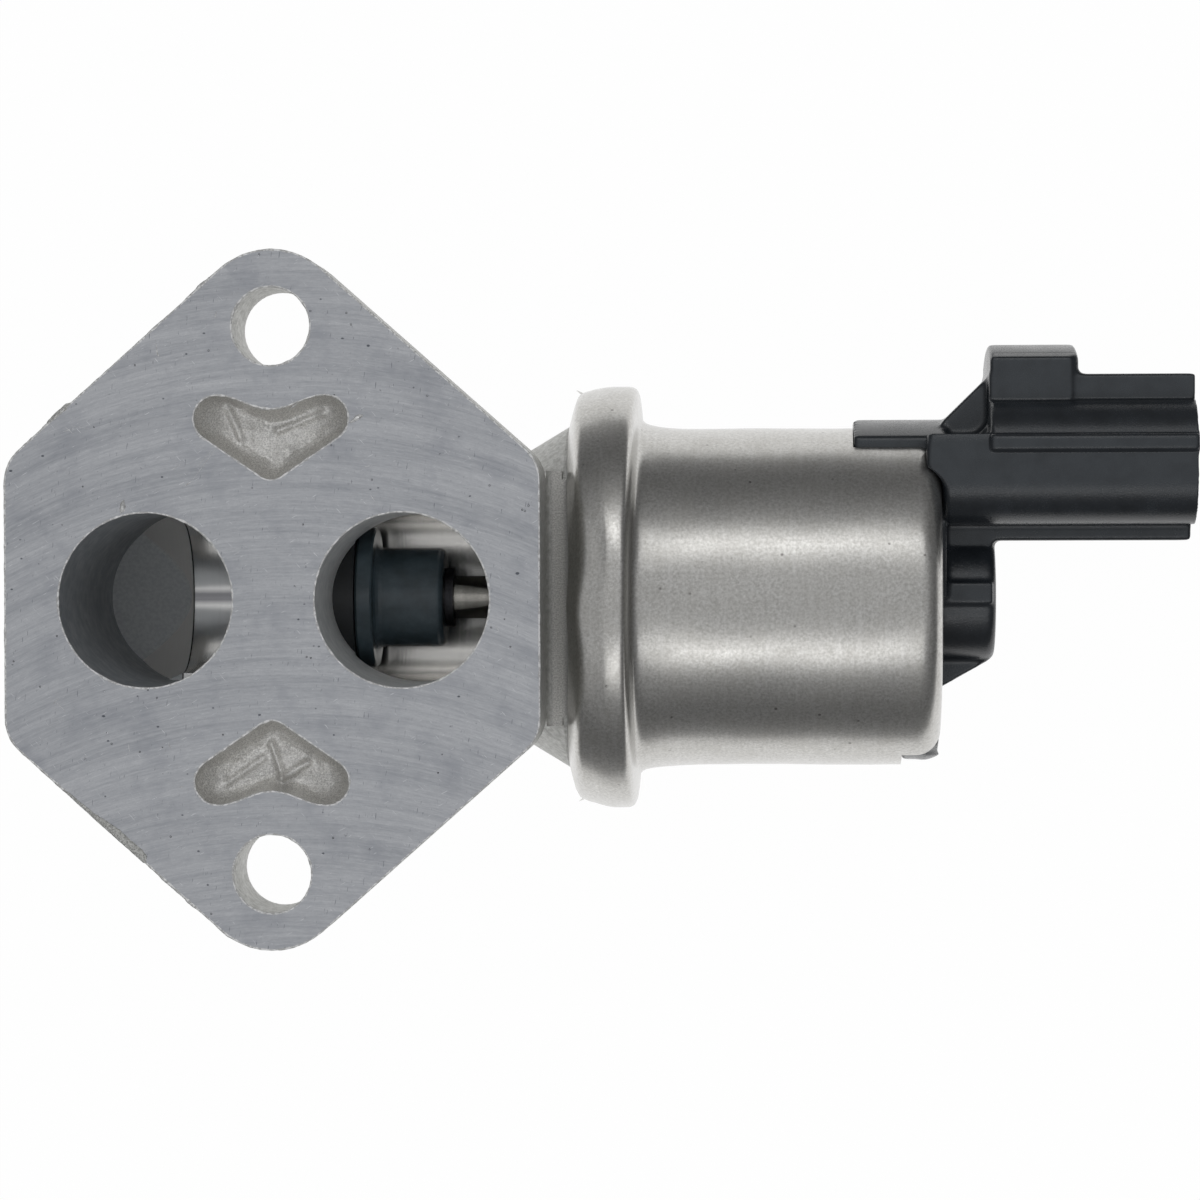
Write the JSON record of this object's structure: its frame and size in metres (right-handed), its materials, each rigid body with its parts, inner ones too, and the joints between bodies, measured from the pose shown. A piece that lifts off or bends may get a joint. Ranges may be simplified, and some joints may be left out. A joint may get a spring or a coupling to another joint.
{
  "type": "idle air control valve",
  "caption": "Idle air control valve: a cast flange with air ports, a crimped solenoid can and a moulded connector socket, with a sliding plug inside.",
  "frame": {"origin": "middle of the mounting face, half way between the bolt holes", "axes": "+Z out of the mounting face, +X along the solenoid towards the connector, +Y towards the connector's side"},
  "size_m": [0.1098, 0.064, 0.0412],
  "materials": {
    "cast_aluminium": "machined face, as-cast walls",
    "can_steel": "satin, finely speckled",
    "black_plastic": "moulded, soft gloss",
    "plug_black": "smooth",
    "seat_black": "smooth",
    "rod_steel": "polished",
    "seal_rubber": "matt",
    "pole_iron": "turned",
    "bushing_bronze": "turned",
    "tube_steel": "drawn",
    "bobbin_plastic": "moulded",
    "copper_wire": "enamelled wire",
    "pin_tin": "tinned",
    "spring_steel": "drawn wire",
    "clip_black_steel": "black oxide"
  },
  "bodies": {
    "valve": {"valve_body": "cast_aluminium", "valve_seat": "seat_black", "body_seal_ring": "seal_rubber", "front_pole_plate": "pole_iron", "front_bushing": "bushing_bronze", "guide_tube": "tube_steel", "coil_bobbin": "bobbin_plastic", "coil_winding": "copper_wire", "fixed_core": "pole_iron", "rear_bushing": "bushing_bronze", "rear_flux_washer": "pole_iron", "solenoid_can": "can_steel", "connector_housing": "black_plastic", "terminal_pin_1": "pin_tin", "terminal_pin_2": "pin_tin", "return_spring": "spring_steel"},
    "plunger": {"valve_rod": "rod_steel", "valve_plug": "plug_black", "plug_retainer": "clip_black_steel", "armature": "pole_iron", "armature_clip": "clip_black_steel"}
  },
  "joints": [
    {"name": "plunger_slide", "type": "slide", "parent": "valve", "child": "plunger", "axis": [1, 0, 0], "range_m": [0, 0.004], "stiffness_N_per_m": 500, "springref_m": -0.005, "deforming": ["return_spring"]}
  ]
}
